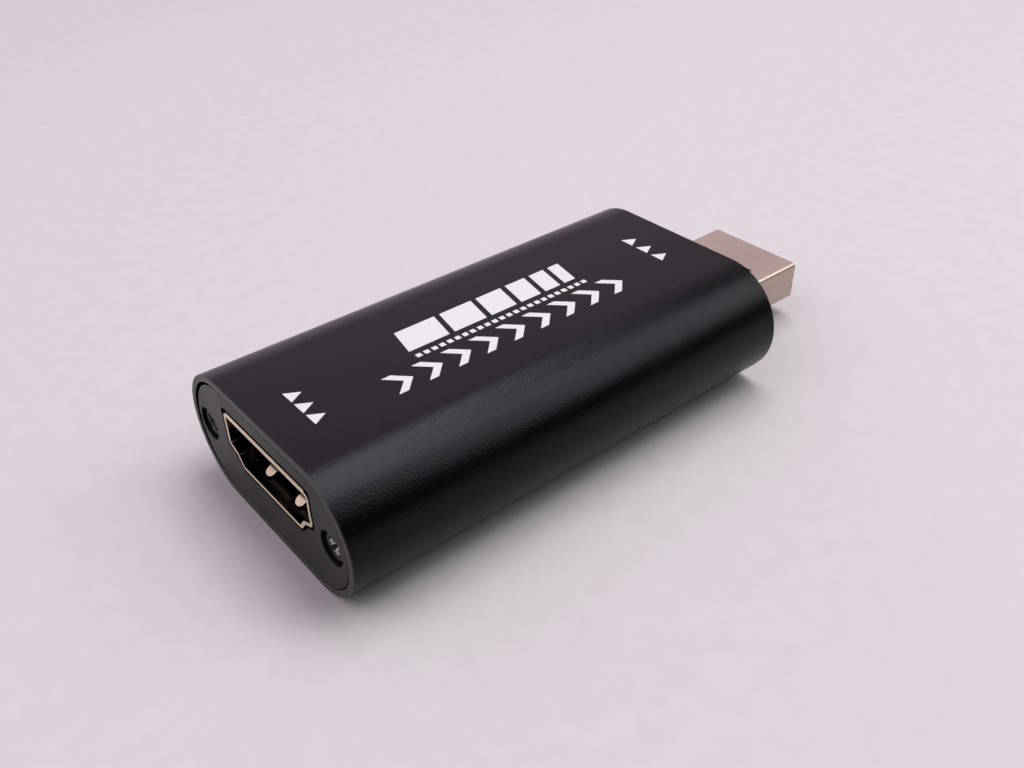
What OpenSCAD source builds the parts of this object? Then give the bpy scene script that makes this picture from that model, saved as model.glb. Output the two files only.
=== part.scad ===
// Video capture box: an extruded oval sleeve, closed by two screwed end plates, around one circuit board.
// A video socket opens through the input plate and a flat data plug stands out of the output plate.
// Lengths are in millimetres. +X runs from the socket to the plug and +Z is up.
// The origin is at the middle of the whole length, on the base.

/* [Sleeve] */
// Length of the extruded sleeve
sleeve_len = 51.2; // [46:0.2:70]
// Width of the sleeve over its round sides
sleeve_w = 28; // [27.6:0.2:34]
// Height of the sleeve
sleeve_h = 12.8; // [12:0.1:16]
// Wall of the sleeve
sleeve_wall = 0.7; // [0.6:0.05:1.2]

/* [Screw channels] */
// Distance from the axis of a channel to the outer side of the sleeve
port_inset = 3.2; // [3:0.1:3.6]
// Outer radius of a channel
port_r = 1.55; // [1.4:0.05:1.7]
// Thickness of the web that joins a channel to the wall
port_web = 1.2; // [0.8:0.1:1.6]
// Width of the slot that opens a channel along its length
port_slot = 0.7; // [0.4:0.1:1]

/* [Board rails] */
// How far a rail reaches under the edge of the board
rail_reach = 1.1; // [0.6:0.1:1.6]
// Depth of a rail
rail_h = 0.9; // [0.6:0.1:1.2]

/* [End plates] */
// Thickness of an end plate
plate_t = 2.5; // [2.2:0.1:3.5]
// Gap between a plate and the sleeve, all round
plate_gap = 0.1; // [0.05:0.05:0.4]
// Further gap on the +Y side, because a plate is screwed on against the other side
plate_play = 0.4; // [0:0.1:0.5]
// How far a plate lies behind the end of the sleeve
plate_recess = 0.05; // [0:0.05:0.4]
// Gap between a plate and the connector that passes through it
cutout_gap = 0.3; // [0.15:0.05:0.5]

/* [Screws] */
// Radius of the shank
screw_r = 0.85; // [0.7:0.05:0.95]
// Length of the shank under the head
screw_len = 6; // [4:0.5:9]
// Gap round the shank in its channel
screw_fit = 0.05; // [0.02:0.01:0.1]
// Radius of the head
head_r = 1.5; // [1.2:0.05:1.6]
// Height of the head
head_h = 1; // [0.8:0.1:1.2]
// Height of the rounded-off edge of the head
head_edge = 0.3; // [0.1:0.05:0.5]
// Gap round the head in its counterbore
head_gap = 0.15; // [0.05:0.05:0.25]
// Thickness of the plate left under the head
head_seat = 1.2; // [0.8:0.1:1.4]
// Width of one slot of the cross recess
recess_w = 0.55; // [0.3:0.05:0.6]
// Length of one slot of the cross recess
recess_span = 1.9; // [1.4:0.1:2.2]
// Depth of the cross recess
recess_depth = 0.5; // [0.3:0.1:0.7]

/* [Circuit board] */
// Thickness of the board
board_t = 1.2; // [0.8:0.1:1.6]
// Gap between the board and the faces that guide it
board_fit = 0.05; // [0.02:0.01:0.1]
// Gap between the edge of the board and the wall of the sleeve
board_side_gap = 0.2; // [0.1:0.05:0.4]
// Gap between the board and the input plate
board_end_gap = 0.2; // [0.1:0.1:1]
// Gap between the board and the back of the data plug
board_plug_gap = 0.8; // [0.6:0.1:1.2]
// Gap round a leg or a tab in its slot in the board
solder_gap = 0.12; // [0.05:0.01:0.2]
// How far legs and tabs stand out below the board
leg_stub = 0.4; // [0.2:0.1:0.8]

/* [Video socket] */
// Width of the opening
socket_w = 14; // [13.6:0.1:14.4]
// Height of the opening
socket_h = 4.5; // [4.2:0.1:4.8]
// Width of the floor of the opening
socket_floor_w = 10; // [9.4:0.1:10.4]
// Width of the opening at the foot of the shoulders
socket_shoulder_w = 11.5; // [11.2:0.1:12]
// Height of the foot of the shoulders over the floor
socket_shoulder_z = 1.05; // [0.8:0.05:1.2]
// Height of the outer ends of the shoulders over the floor
socket_ledge_z = 1.55; // [1.4:0.05:2]
// Radius of the bends of the shell, on the inside
socket_bend_r = 0.2; // [0.1:0.05:0.6]
// Thickness of the sheet of the shell
socket_wall = 0.35; // [0.3:0.05:0.5]
// Length of the shell
socket_len = 11.4; // [10:0.2:13]
// Sideways place of the socket
socket_y = -0.6; // [-0.6:0.1:0.6]
// How far the mouth lies behind the end of the sleeve
socket_set_back = 0.05; // [0:0.05:0.4]
// Gap under the shell, over the board
socket_lift = 0.1; // [0.05:0.05:0.3]
// Width of the turned-up lip on the top edge of the mouth
lip_w = 13.2; // [10:0.2:13.6]
// Height of the lip over the shell
lip_h = 0.2; // [0.1:0.1:0.6]
// Thickness of the lip
lip_t = 0.4; // [0.3:0.1:0.6]
// Width of one leg of the shell
leg_w = 1.2; // [0.8:0.1:1.6]
// Distance from the mouth to the middle of the front legs
leg_front = 4.6; // [4.2:0.1:5.2]
// Distance from the mouth to the middle of the rear legs
leg_rear = 9.6; // [8.5:0.1:10]

/* [Latch springs] */
// Width of a spring leaf
leaf_w = 1.2; // [1:0.1:1.6]
// Thickness of a spring leaf
leaf_t = 0.2; // [0.15:0.05:0.25]
// Distance between the two leaves of one wall
leaf_pitch = 5.2; // [4.6:0.2:6]
// Distance from the mouth to the free tip
leaf_tip = 1; // [0.8:0.1:1.4]
// Distance from the free tip to the crest
leaf_rise = 0.8; // [0.6:0.1:1.2]
// Distance from the mouth to the root of the leaf
leaf_root = 5.2; // [4.6:0.2:6.4]
// Height of the crest over the wall of the opening
leaf_crest = 0.5; // [0.3:0.05:0.7]
// Radius of the bend at the crest
leaf_bend_r = 0.6; // [0.3:0.1:0.8]
// Gap round a leaf in its window in the wall
leaf_gap = 0.25; // [0.15:0.05:0.35]
// Gap behind the round root of a leaf
root_fit = 0.03; // [0.02:0.01:0.06]

/* [Socket insulator] */
// Width of the tongue
tongue_w = 11.3; // [10.4:0.1:11.6]
// Thickness of the tongue
tongue_t = 1; // [0.8:0.1:1.2]
// Distance from the mouth to the tip of the tongue
tongue_set_back = 1.9; // [1.5:0.1:2.4]
// Length of the block that fills the back of the shell
block_len = 3.8; // [3:0.2:4.6]
// Gap round the block in the shell
block_fit = 0.04; // [0.02:0.01:0.08]

/* [Socket contacts] */
// Number of contacts on top of the tongue
upper_contacts = 10; // [8:1:10]
// Number of contacts under the tongue
lower_contacts = 9; // [7:1:9]
// Distance from one contact of a row to the next
contact_pitch = 1; // [0.9:0.05:1.1]
// Width of a contact
contact_w = 0.3; // [0.2:0.05:0.35]
// Thickness of a contact
contact_t = 0.15; // [0.1:0.05:0.2]
// Gap round a contact in the insulator
contact_fit = 0.03; // [0.02:0.01:0.05]
// Distance from the tip of the tongue to the start of a contact
contact_set_back = 0.5; // [0.3:0.1:1]
// Length of the foot of a contact on the board
contact_foot = 0.9; // [0.6:0.1:1.2]

/* [Data plug] */
// Width of the plug
plug_w = 12; // [11.8:0.1:12.2]
// Height of the plug
plug_h = 4.45; // [4.3:0.05:4.7]
// Thickness of the sheet of the plug's shell
plug_wall = 0.3; // [0.25:0.05:0.4]
// Radius of the long edges of the plug
plug_edge_r = 0.45; // [0.4:0.05:0.8]
// How far the plug stands out of the sleeve
plug_reach = 14; // [12:0.1:16]
// Height of the middle of the plug over the middle of the board
plug_lift = 0.1; // [0:0.05:0.4]
// Length of the plug's shell inside the sleeve
plug_inside = 4.5; // [4:0.1:6]
// Side of a square latch hole
plug_hole = 2.5; // [2:0.1:2.7]
// Distance between the two latch holes of one wall
plug_hole_pitch = 4.9; // [4.2:0.1:5.2]
// Distance from the tip of the plug to the latch holes
plug_hole_set_back = 5; // [4.6:0.1:5.6]
// Length of the tabs that hold the plug to the board
tab_len = 2.6; // [2:0.1:4]

/* [Plug insulator] */
// Thickness of the plug's tongue
plug_tongue_t = 1.84; // [1.6:0.02:2]
// Distance from the tip of the plug to the tip of its tongue
plug_tongue_set_back = 0.4; // [0.2:0.1:1]
// Distance from the tip of the plug to the block that fills its back
plug_block_set_back = 11; // [10:0.2:13]
// Gap round the block in the plug's shell
plug_block_fit = 0.04; // [0.02:0.01:0.08]

/* [Plug contacts] */
// Distance between the outer contacts
plug_outer_pitch = 7; // [6.6:0.1:7.2]
// Distance between the inner contacts
plug_inner_pitch = 2; // [1.8:0.1:2.2]
// Width of a contact
plug_contact_w = 1; // [0.8:0.1:1.2]
// Thickness of a contact
plug_contact_t = 0.25; // [0.2:0.05:0.3]
// Distance from the tip of the plug to the outer contacts
plug_outer_set_back = 1.6; // [1.4:0.1:2.2]
// Distance from the tip of the plug to the inner contacts
plug_inner_set_back = 2.6; // [2:0.1:3.4]
// Length of the foot of a contact on the board
plug_foot = 1.8; // [1.2:0.1:2.4]

/* [Chips] */
// Side of the body of the capture chip
chip_side = 7; // [6:0.2:7.6]
// Height of the body of the capture chip
chip_h = 1.3; // [1:0.1:1.6]
// Pins on one side of the capture chip
chip_pins = 12; // [8:1:12]
// Distance from one pin of the capture chip to the next
chip_pitch = 0.5; // [0.45:0.01:0.55]
// Length of the body of the memory chip
memory_len = 4.9; // [4.4:0.1:5.4]
// Width of the body of the memory chip
memory_w = 3.9; // [3.4:0.1:4.2]
// Height of the body of the memory chip
memory_h = 1.4; // [1.1:0.1:1.6]
// Pins on one side of the memory chip
memory_pins = 4; // [3:1:4]
// Distance from one pin of the memory chip to the next
memory_pitch = 1.27; // [1:0.01:1.3]
// Length of the body of a voltage regulator
regulator_len = 2.9; // [2.6:0.1:3.2]
// Width of the body of a voltage regulator
regulator_w = 1.6; // [1.4:0.1:1.8]
// Height of the body of a voltage regulator
regulator_h = 1; // [0.8:0.1:1.2]
// Pins on one side of a voltage regulator
regulator_pins = 3; // [2:1:3]
// Distance from one pin of a voltage regulator to the next
regulator_pitch = 0.95; // [0.8:0.01:1]
// Length of a surge array
surge_len = 2.5; // [2:0.1:3]
// Width of a surge array
surge_w = 1; // [0.8:0.1:1.4]
// Height of a surge array
surge_h = 0.55; // [0.4:0.05:0.8]
// Gap between a chip's body and the board
chip_lift = 0.1; // [0.05:0.01:0.15]
// Thickness of a chip's pin
pin_t = 0.15; // [0.1:0.05:0.2]
// Width of a chip's pin
pin_w = 0.24; // [0.16:0.02:0.3]
// How far a pin stands out of a chip's body
pin_reach = 1; // [0.9:0.1:1.1]
// Length of the foot of a pin
pin_foot = 0.5; // [0.3:0.05:0.5]
// Length of the shoulder of a pin, where it leaves the body
pin_shoulder = 0.3; // [0.15:0.05:0.35]

/* [Small components] */
// Length of the clock crystal
crystal_len = 3.2; // [2.5:0.1:3.6]
// Width of the clock crystal
crystal_w = 2.5; // [2:0.1:2.8]
// Height of the clock crystal
crystal_h = 0.8; // [0.6:0.1:1.2]
// Height of the metal lid of the clock crystal
crystal_lid_h = 0.25; // [0.1:0.05:0.4]
// Rim of the case round the lid
crystal_rim = 0.2; // [0.1:0.05:0.3]
// Side of the power choke
choke_side = 4; // [3:0.1:4.4]
// Height of the power choke
choke_h = 1.8; // [1.2:0.1:2.4]
// Radius of the wound core on the choke's base
choke_core_r = 1.7; // [1.3:0.1:1.9]
// Thickness of the choke's base
choke_base_t = 0.5; // [0.3:0.1:0.8]
// Length of a capacitor or resistor
passive_len = 1.6; // [1:0.1:1.8]
// Width of a capacitor or resistor
passive_w = 0.8; // [0.5:0.1:0.9]
// Height of a capacitor
capacitor_h = 0.8; // [0.5:0.1:1]
// Height of a resistor
resistor_h = 0.45; // [0.3:0.05:0.6]
// Distance from one capacitor or resistor of a row to the next
passive_pitch = 1.9; // [1.4:0.1:2.2]
// Capacitors or resistors in the row on each side of the capture chip
passive_row = 5; // [3:1:5]

/* [Board layout] */
// Least gap between neighbours on the board
layout_gap = 0.8; // [0.6:0.1:1]
// Distance from the middle of the board to a surge array
surge_y = 3.2; // [2:0.1:3.6]
// Sideways place of the memory chip
memory_y = -5.6; // [-7:0.1:-4.6]
// Sideways place of the clock crystal
crystal_y = 2.2; // [1:0.1:6]

/* [Hidden] */
$fn = 64;

// Arc steps of a bent sheet, and the least radius of a bend
bend_steps = 4;
least_r = 0.06;
// Overshoot of a cut past the face that it opens
cut = 1;

// Sleeve, channels and plates
overall_len = sleeve_len + plug_reach;
mid_z = sleeve_h / 2;
inner_r = mid_z - sleeve_wall;
port_y = sleeve_w / 2 - port_inset;
port_bore_r = screw_r + screw_fit;
plate_back = plate_recess + plate_t;
head_top = plate_back - head_seat - head_h;

// Board, held between the undersides of the channels and the rails
board_top = mid_z - port_r - board_fit;
board_z = board_top - board_t;
rail_top = board_z - board_fit;
board_half_w = (sleeve_w - sleeve_h) / 2 + sqrt(pow(inner_r, 2) - pow(mid_z - board_z, 2)) - board_side_gap;
plug_back = sleeve_len - plug_inside;
plug_tip = sleeve_len + plug_reach;
plug_z = board_z + board_t / 2 + plug_lift;
board_start = plate_back + board_end_gap;
board_end = plug_back - board_plug_gap;
leg_foot = board_z - leg_stub;

// Socket, with its floor standing on the board
socket_floor = board_top + socket_lift + socket_wall;
socket_roof = socket_floor + socket_h;
socket_mid = socket_floor + socket_h / 2;
socket_back = socket_set_back + socket_len;
leg_y = socket_w / 2 + socket_wall / 2;
leg_top = socket_floor + socket_ledge_z + socket_bend_r;
tongue_tip = socket_set_back + tongue_set_back;
block_start = socket_back - block_len;
root_r = socket_wall / 2;

// Plug insulator
plug_floor = plug_z - plug_h / 2 + plug_wall;
plug_tongue_top = plug_floor + plug_tongue_t;
plug_inner_w = plug_w - 2 * plug_wall;
plug_inner_h = plug_h - 2 * plug_wall;
plug_block_w = plug_inner_w - 2 * plug_block_fit;
plug_tongue_tip = plug_tip - plug_tongue_set_back;
plug_block_start = plug_tip - plug_block_set_back;

// Places on the board, each from the neighbour before it: towards the plug from the socket's feet,
// and towards the socket from the feet of the plug's contacts
chip_edge = chip_side / 2 + pin_reach;
surge_x = socket_back + 2 * contact_t + contact_foot + layout_gap + surge_w / 2;
chip_x = surge_x + surge_w / 2 + layout_gap + chip_edge;
memory_x = chip_x + chip_edge + layout_gap + pin_reach + memory_w / 2;
crystal_x = chip_x + chip_edge + layout_gap + crystal_w / 2;
plug_feet = plug_back - board_plug_gap / 2 - plug_foot;
regulator_x = plug_feet - layout_gap - pin_reach - regulator_w / 2;
regulator_y = [0, -regulator_len - layout_gap];
choke_x = plug_feet - layout_gap - choke_side / 2;
choke_y = regulator_len / 2 + layout_gap + choke_side / 2;

// Capacitors stand in a row beside the chip, before the regulators and beside the plug
row_y = chip_edge + layout_gap + passive_len / 2;
row_x = [for (k = [0:passive_row - 1]) chip_x + (k - (passive_row - 1) / 2) * passive_pitch];
filter_x = regulator_x - regulator_w / 2 - pin_reach - layout_gap - passive_w / 2;
plug_side_y = plug_w / 2 + layout_gap + passive_len / 2;
capacitor_spots = concat(
    [for (x = row_x) [x, row_y]],
    [for (y = regulator_y) [filter_x, y]],
    [for (s = [-1, 1]) [plug_feet, s * plug_side_y]]
);

// Resistors stand in a row on the other side of the chip and beside the surge arrays
surge_side_y = surge_y + surge_len / 2 + layout_gap + passive_len / 2;
resistor_spots = concat(
    [for (x = row_x) [x, -row_y]],
    [for (s = [-1, 1]) [surge_x, s * surge_side_y]]
);

// The unit vector along v
function unit(v) = v / norm(v);

// The vector v turned by an angle
function spun(v, angle) = [v.x * cos(angle) - v.y * sin(angle), v.x * sin(angle) + v.y * cos(angle)];

// The signed angle from direction u to direction v
function turn(u, v) = atan2(u.x * v.y - u.y * v.x, u * v);

// The shift of a corner between directions u and v that moves both its sides outwards by one unit
function miter(u, v) = let (m = u + v) [m.y, -m.x] / (1 + u * v);

// The arc that rounds the corner b between a and c
function corner(a, b, c, r) =
    let (u = unit(b - a), angle = turn(u, unit(c - b)), start = b - u * r * tan(abs(angle) / 2))
    let (spoke = [u.y, -u.x] * r * sign(angle))
    [for (k = [0:bend_steps]) start - spoke + spun(spoke, angle * k / bend_steps)];

// A closed outline with every side moved outwards by d
function grown(p, d) = let (n = len(p)) [
    for (i = [0:n - 1])
        p[i] + d * miter(unit(p[i] - p[(i + n - 1) % n]), unit(p[(i + 1) % n] - p[i]))
];

// A closed outline moved outwards by d, with corners that keep the centres of radius r
function rounded(p, r, d = 0) = let (q = grown(p, d), n = len(q)) [
    for (i = [0:n - 1])
        let (a = q[(i + n - 1) % n], b = q[i], c = q[(i + 1) % n])
        each corner(a, b, c, max(least_r, r + d * sign(turn(b - a, c - b))))
];

// An open path with its inner corners rounded
function bent(p, r) = [
    p[0],
    for (i = [1:len(p) - 2]) each corner(p[i - 1], p[i], p[i + 1], r),
    p[len(p) - 1]
];

// An open path moved sideways by d
function beside(p, d) = let (n = len(p) - 1) [
    for (i = [0:n])
        let (u = unit(p[max(i, 1)] - p[max(i, 1) - 1]), v = unit(p[min(i, n - 1) + 1] - p[min(i, n - 1)]))
        p[i] + d * miter(i == 0 ? v : u, i == n ? u : v)
];

// The outline of a strip of thickness t along a path
function strip(p, t) = let (back = beside(p, -t / 2), n = len(p) - 1)
    concat(beside(p, t / 2), [for (i = [0:n]) back[n - i]]);

// The outline of the socket's opening, from its floor, with a roof at height h
function socket_outline(h) = let (side = [
        [socket_floor_w / 2, 0],
        [socket_shoulder_w / 2, socket_shoulder_z],
        [socket_w / 2, socket_ledge_z],
        [socket_w / 2, h]
    ])
    concat(side, [for (i = [3:-1:0]) [-side[i].x, side[i].y]]);

// The middle line of a gull-wing pin, from its foot to the body it leaves
function pin_path(half_w, body_h) = [
    [half_w + pin_reach, pin_t / 2],
    [half_w + pin_reach - pin_foot, pin_t / 2],
    [half_w + pin_shoulder, chip_lift + body_h / 2],
    [half_w - pin_t, chip_lift + body_h / 2]
];

// Moves what is drawn from the input end of the sleeve into the part's own frame
module part_frame() {
    translate([-overall_len / 2, 0, 0]) children();
}

// Extrudes a section drawn in Y and Z along X
module along_x(x, length) {
    translate([x, 0, 0]) rotate([90, 0, 90]) linear_extrude(length) children();
}

// Extrudes a section drawn in X and Z along Y, about its middle
module across_y(y, width) {
    translate([0, y + width / 2, 0]) rotate([90, 0, 0]) linear_extrude(width) children();
}

// Draws a section and its mirror image
module both_sides() {
    children();
    mirror([1, 0]) children();
}

module obround(w, h) {
    square([w - h, h], center = true);
    for (s = [-1, 1]) translate([s * (w - h) / 2, 0]) circle(d = h);
}

module round_rect(w, h, r) {
    square([w - 2 * r, h], center = true);
    square([w, h - 2 * r], center = true);
    both_sides() for (s = [-1, 1]) translate([w / 2 - r, s * (h / 2 - r)]) circle(r);
}

// The outline of the sleeve with its sides moved inwards by d, and by a further gap on the +Y side
module sleeve_outline(d, short = 0) {
    translate([-short / 2, mid_z]) obround(sleeve_w - 2 * d - short, sleeve_h - 2 * d);
}

// Both screw channels with their webs, and the rails under the board
module channel_section() {
    intersection() {
        sleeve_outline(sleeve_wall / 2);
        both_sides() {
            difference() {
                union() {
                    translate([port_y, mid_z]) circle(port_r);
                    translate([port_y, mid_z - port_web / 2]) square([port_inset, port_web]);
                }
                translate([port_y, mid_z]) circle(port_bore_r);
                translate([port_y - port_r - cut, mid_z - port_slot / 2]) square([port_r + cut, port_slot]);
            }
            translate([board_half_w - rail_reach, rail_top - rail_h]) square([sleeve_w, rail_h]);
        }
    }
}

module sleeve() {
    color("#2b2a2d") part_frame() {
        along_x(0, sleeve_len) difference() {
            sleeve_outline(0);
            sleeve_outline(sleeve_wall);
        }
        along_x(plate_back, sleeve_len - 2 * plate_back) channel_section();
    }
}

// An end plate at the input end, with its screw holes. The children are cut out of it.
module end_plate() {
    difference() {
        along_x(plate_recess, plate_t) sleeve_outline(sleeve_wall + plate_gap, plate_play);
        for (s = [-1, 1]) translate([plate_recess, s * port_y, mid_z]) rotate([0, 90, 0]) {
            translate([0, 0, -cut]) cylinder(r = port_bore_r, h = plate_t + 2 * cut);
            translate([0, 0, -cut]) cylinder(r = head_r + head_gap, h = plate_t - head_seat + cut);
        }
        children();
    }
}

// Draws at the output end what is drawn at the input end
module at_output() {
    translate([sleeve_len, 0, 0]) mirror([1, 0, 0]) children();
}

module input_end_plate() {
    color("#3c3d40") part_frame() end_plate()
        along_x(-cut, plate_back + 2 * cut) translate([socket_y, socket_floor])
            polygon(rounded(socket_outline(socket_h + lip_h), socket_bend_r, socket_wall + cutout_gap));
}

module output_end_plate() {
    color("#3c3d40") part_frame() at_output() end_plate()
        along_x(-cut, plate_back + 2 * cut) translate([0, plug_z])
            round_rect(plug_w + 2 * cutout_gap, plug_h + 2 * cutout_gap, plug_edge_r + cutout_gap);
}

// One screw on the X axis, with the top of its head at the origin
module screw() {
    rotate([0, 90, 0]) difference() {
        union() {
            rotate_extrude() polygon([
                [0, 0], [head_r - head_edge, 0], [head_r, head_edge], [head_r, head_h], [0, head_h]
            ]);
            translate([0, 0, head_h]) cylinder(r = screw_r, h = screw_len);
        }
        for (a = [45, 135]) rotate([0, 0, a])
            translate([0, 0, recess_depth / 2 - cut / 2])
                cube([recess_span, recess_w, recess_depth + cut], center = true);
    }
}

module end_screws() {
    color("#222224") part_frame() for (s = [-1, 1]) {
        translate([head_top, s * port_y, mid_z]) screw();
        at_output() translate([head_top, s * port_y, mid_z]) screw();
    }
}

// The four legs of the socket's shell, grown by a gap
module socket_legs(gap) {
    for (x = [leg_front, leg_rear], s = [-1, 1])
        translate([socket_set_back + x, socket_y + s * leg_y, (leg_top + leg_foot) / 2])
            cube([leg_w + 2 * gap, socket_wall + 2 * gap, leg_top - leg_foot], center = true);
}

// The two tabs of the plug's shell, grown by a gap and lengthened to start inside the shell
module plug_tabs(gap, overlap) {
    for (s = [-1, 1])
        translate([plug_back - tab_len - gap, s * (plug_w - plug_wall) / 2 - plug_wall / 2 - gap, leg_foot])
            cube([tab_len + gap + overlap, plug_wall + 2 * gap, 2 * (plug_z - leg_foot)]);
}

module circuit_board() {
    color("#1f5b3a") part_frame() difference() {
        translate([board_start, -board_half_w, board_z])
            cube([board_end - board_start, 2 * board_half_w, board_t]);
        socket_legs(solder_gap);
        plug_tabs(solder_gap, cut);
    }
}

// The windows round the two spring leaves of one wall
module leaf_windows(z) {
    window_len = leaf_root + root_r + root_fit - leaf_tip + leaf_gap;
    window_w = leaf_w + 2 * leaf_gap;
    for (s = [-1, 1])
        translate([socket_set_back + leaf_tip - leaf_gap, socket_y + s * leaf_pitch / 2 - window_w / 2, z])
            cube([window_len, window_w, 3 * socket_wall]);
}

module socket_shell() {
    color("#cbbba9") part_frame() {
        difference() {
            along_x(socket_set_back, socket_len) translate([socket_y, socket_floor]) difference() {
                polygon(rounded(socket_outline(socket_h), socket_bend_r, socket_wall));
                polygon(rounded(socket_outline(socket_h), socket_bend_r));
            }
            leaf_windows(socket_floor - 2 * socket_wall);
            leaf_windows(socket_roof - socket_wall);
        }
        translate([socket_set_back, socket_y - lip_w / 2, socket_roof + socket_wall / 2])
            cube([lip_t, lip_w, socket_wall / 2 + lip_h]);
        socket_legs(0);
    }
}

// One spring leaf in the floor of the socket, in the frame of the socket's mouth
module floor_leaf(y) {
    rise = root_r + leaf_crest - leaf_t / 2;
    path = [[leaf_tip, leaf_t / 2], [leaf_tip + leaf_rise, rise], [leaf_root, 0]];
    translate([0, 0, -root_r]) {
        intersection() {
            across_y(y, leaf_w) polygon(strip(bent(path, leaf_bend_r), leaf_t));
            translate([0, y, -socket_h / 2]) linear_extrude(socket_h) {
                translate([leaf_tip + leaf_w / 2, 0]) circle(d = leaf_w);
                translate([leaf_tip + leaf_w / 2, -leaf_w / 2]) square([leaf_root, leaf_w]);
            }
        }
        translate([leaf_root, y + leaf_w / 2, 0]) rotate([90, 0, 0]) cylinder(r = root_r, h = leaf_w);
    }
}

// A spring leaf on one side, in the floor or mirrored into the roof
module latch_spring(side, upper) {
    color("#d2bd97") part_frame() translate([socket_set_back, socket_y, socket_mid])
        mirror([0, 0, upper ? 1 : 0]) translate([0, 0, -socket_h / 2]) floor_leaf(side * leaf_pitch / 2);
}

module upper_left_latch_spring() {
    latch_spring(1, true);
}

module upper_right_latch_spring() {
    latch_spring(-1, true);
}

module lower_left_latch_spring() {
    latch_spring(1, false);
}

module lower_right_latch_spring() {
    latch_spring(-1, false);
}

// One row of socket contacts, over or under the tongue, grown by a gap
module contact_row(count, level, gap) {
    middle = socket_mid + level * (tongue_t + contact_t) / 2;
    riser = socket_back + contact_t;
    foot = board_top + contact_t / 2;
    path = [
        [tongue_tip + contact_set_back, middle], [riser, middle],
        [riser, foot], [riser + contact_foot, foot]
    ];
    for (k = [0:count - 1])
        across_y(socket_y + (k - (count - 1) / 2) * contact_pitch, contact_w + 2 * gap)
            polygon(strip(path, contact_t + 2 * gap));
}

module socket_insulator() {
    color("#17171a") part_frame() difference() {
        union() {
            translate([tongue_tip, socket_y - tongue_w / 2, socket_mid - tongue_t / 2])
                cube([socket_back - tongue_tip, tongue_w, tongue_t]);
            along_x(block_start, block_len) translate([socket_y, socket_floor])
                polygon(rounded(socket_outline(socket_h), socket_bend_r, -block_fit));
        }
        contact_row(upper_contacts, 1, contact_fit);
        contact_row(lower_contacts, -1, contact_fit);
    }
}

module socket_contacts() {
    color("#c9a55c") part_frame() {
        contact_row(upper_contacts, 1, 0);
        contact_row(lower_contacts, -1, 0);
    }
}

module plug_shell() {
    color("#cfc1b2") part_frame() {
        difference() {
            along_x(plug_back, plug_tip - plug_back) translate([0, plug_z]) difference() {
                round_rect(plug_w, plug_h, plug_edge_r);
                round_rect(plug_inner_w, plug_inner_h, plug_edge_r - plug_wall);
            }
            for (s = [-1, 1])
                translate([plug_tip - plug_hole_set_back - plug_hole / 2, s * plug_hole_pitch / 2, plug_z])
                    cube([plug_hole, plug_hole, 2 * plug_h], center = true);
        }
        plug_tabs(0, plug_wall);
    }
}

// The four plug contacts, grown by a gap
module plug_contact_set(gap) {
    middle = plug_tongue_top + plug_contact_t / 2;
    foot = board_top + plug_contact_t / 2;
    riser = plug_back - board_plug_gap / 2;
    rows = [[plug_outer_pitch, plug_outer_set_back], [plug_inner_pitch, plug_inner_set_back]];
    for (row = rows, s = [-1, 1])
        across_y(s * row[0] / 2, plug_contact_w + 2 * gap)
            polygon(strip([
                [plug_tip - row[1], middle], [riser, middle], [riser, foot], [riser - plug_foot, foot]
            ], plug_contact_t + 2 * gap));
}

module plug_insulator() {
    color("#1b1b1d") part_frame() difference() {
        union() {
            translate([plug_back, -plug_block_w / 2, plug_floor + plug_block_fit])
                cube([plug_tongue_tip - plug_back, plug_block_w, plug_tongue_t - plug_block_fit]);
            along_x(plug_back, plug_block_start - plug_back) translate([0, plug_z])
                square([plug_block_w, plug_inner_h - 2 * plug_block_fit], center = true);
        }
        plug_contact_set(contact_fit);
    }
}

module plug_contacts() {
    color("#d0b06c") part_frame() plug_contact_set(0);
}

// A chip with a row of pins on each of the given sides, standing on the board
module pinned_chip(x, y, length, w, h, pins, pitch, sides) {
    translate([x, y, board_top]) {
        translate([-w / 2, -length / 2, chip_lift]) cube([w, length, h]);
        for (a = sides, k = [0:pins - 1]) rotate([0, 0, a])
            across_y((k - (pins - 1) / 2) * pitch, pin_w) polygon(strip(pin_path(w / 2, h), pin_t));
    }
}

module capture_chip() {
    color("#1a1a1c") part_frame()
        pinned_chip(chip_x, 0, chip_side, chip_side, chip_h, chip_pins, chip_pitch, [0:90:270]);
}

module memory_chip() {
    color("#1d1d1f") part_frame() pinned_chip(
        memory_x, memory_y, memory_len, memory_w, memory_h, memory_pins, memory_pitch, [0, 180]
    );
}

module voltage_regulators() {
    color("#1d1d1f") part_frame() for (y = regulator_y) pinned_chip(
        regulator_x, y, regulator_len, regulator_w, regulator_h, regulator_pins, regulator_pitch, [0, 180]
    );
}

// A block on the board
module on_board(x, y, size) {
    translate([x - size.x / 2, y - size.y / 2, board_top]) cube(size);
}

module surge_arrays() {
    color("#202022") part_frame() for (s = [-1, 1])
        on_board(surge_x, s * surge_y, [surge_w, surge_len, surge_h]);
}

module clock_crystal() {
    color("#b9bbbd") part_frame() {
        on_board(crystal_x, crystal_y, [crystal_w, crystal_len, crystal_h - crystal_lid_h]);
        on_board(crystal_x, crystal_y, [
            crystal_w - 2 * crystal_rim, crystal_len - 2 * crystal_rim, crystal_h
        ]);
    }
}

module power_choke() {
    color("#3a3634") part_frame() {
        on_board(choke_x, choke_y, [choke_side, choke_side, choke_base_t]);
        translate([choke_x, choke_y, board_top]) cylinder(r = choke_core_r, h = choke_h);
    }
}

module capacitors() {
    color("#a58a66") part_frame() for (p = capacitor_spots)
        on_board(p.x, p.y, [passive_w, passive_len, capacitor_h]);
}

module resistors() {
    color("#242426") part_frame() for (p = resistor_spots)
        on_board(p.x, p.y, [passive_w, passive_len, resistor_h]);
}

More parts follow.
